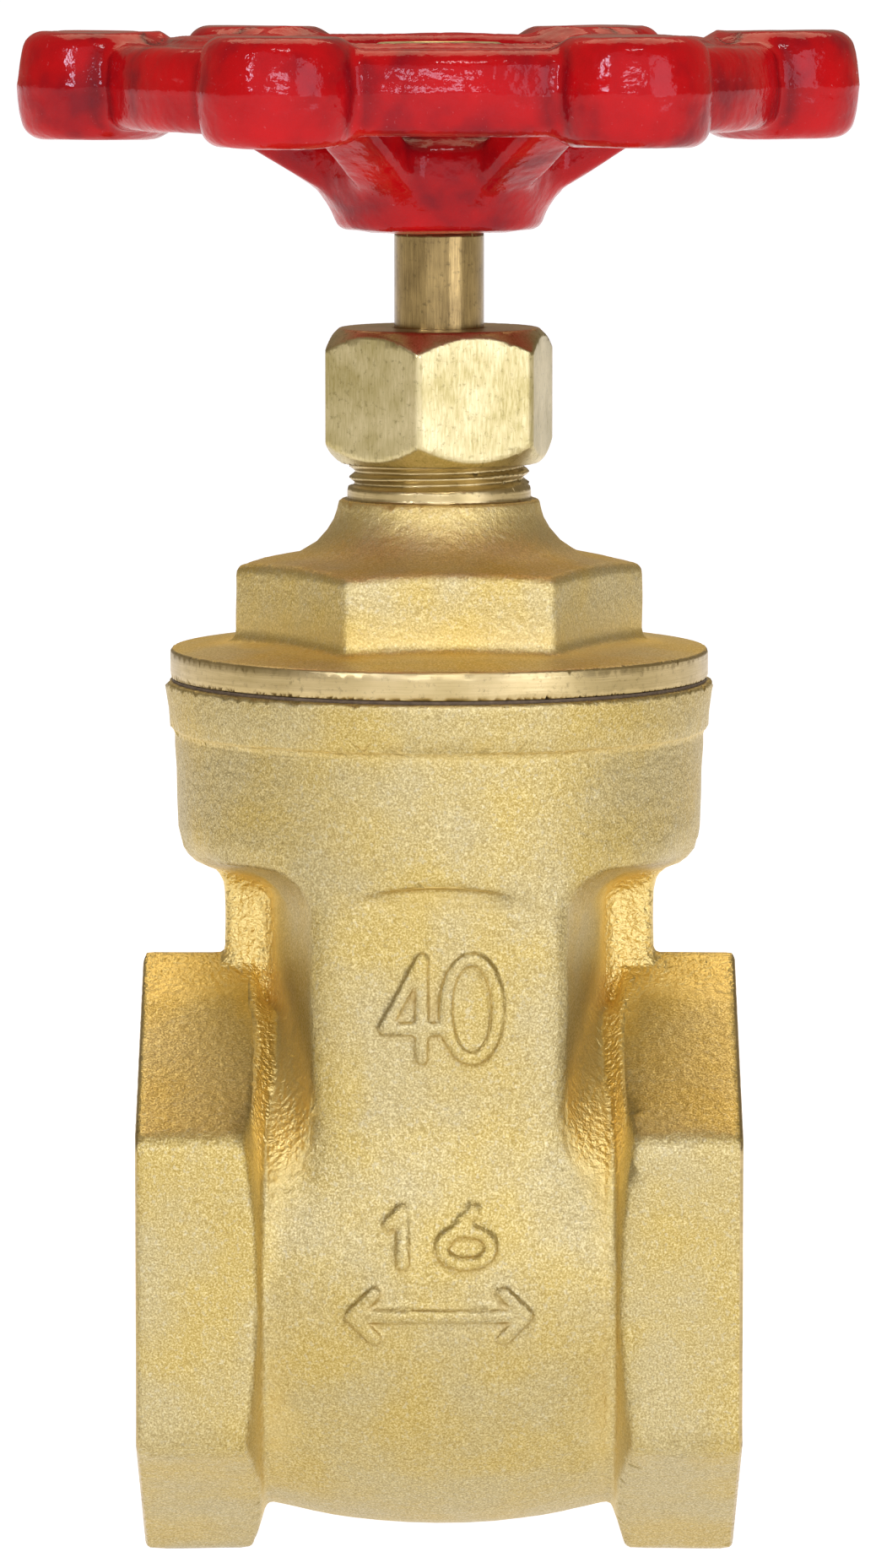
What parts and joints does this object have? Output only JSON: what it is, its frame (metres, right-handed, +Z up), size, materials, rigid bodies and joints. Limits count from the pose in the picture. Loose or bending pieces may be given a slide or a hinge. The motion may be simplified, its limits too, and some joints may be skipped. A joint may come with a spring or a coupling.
{
  "type": "gate valve",
  "caption": "Brass gate valve with threaded hexagonal ends, screw-in bonnet, packing nut and a lobed red handwheel on a stem that turns but does not rise.",
  "frame": {"origin": "where the stem axis crosses the flow axis, at the centre of the waterway", "axes": "+X along the flow, out of the outlet port; +Z up the stem towards the handwheel; -Y is the front"},
  "size_m": [0.0874, 0.0798, 0.16],
  "materials": {
    "cast_brass": "sand cast and shot blasted, satin",
    "cast_brass_plain": "cast, with ground seat faces",
    "turned_brass": "turned, satin",
    "machined_brass": "machined, brushed",
    "red_paint": "gloss red enamel on cast metal",
    "zinc_steel": "zinc plated",
    "ptfe": "matte",
    "fibre": "pressed fibre"
  },
  "bodies": {
    "valve_body": {"body": "cast_brass", "bonnet": "cast_brass", "bonnet_gasket": "fibre", "thrust_washer": "turned_brass", "packing_washer": "turned_brass", "packing_ring_lower": "ptfe", "packing_ring_middle": "ptfe", "packing_ring_upper": "ptfe", "gland_follower": "turned_brass", "packing_nut": "machined_brass"},
    "stem_and_wheel": {"stem": "turned_brass", "handwheel": "red_paint", "handwheel_washer": "zinc_steel", "handwheel_nut": "machined_brass"},
    "gate": {"wedge": "cast_brass_plain"}
  },
  "joints": [
    {"name": "stem_turn", "type": "hinge", "parent": "valve_body", "child": "stem_and_wheel", "pos_m": [0, 0, 0.1], "axis": [0, 0, 1], "range_deg": [-4680, 0]},
    {"name": "wedge_lift", "type": "slide", "parent": "valve_body", "child": "gate", "axis": [0, 0, 1], "range_m": [-0.03901, 0]}
  ],
  "couplings": [
    {"joint": "wedge_lift", "follows": "stem_turn", "m_per_rad": 0.00047746}
  ]
}
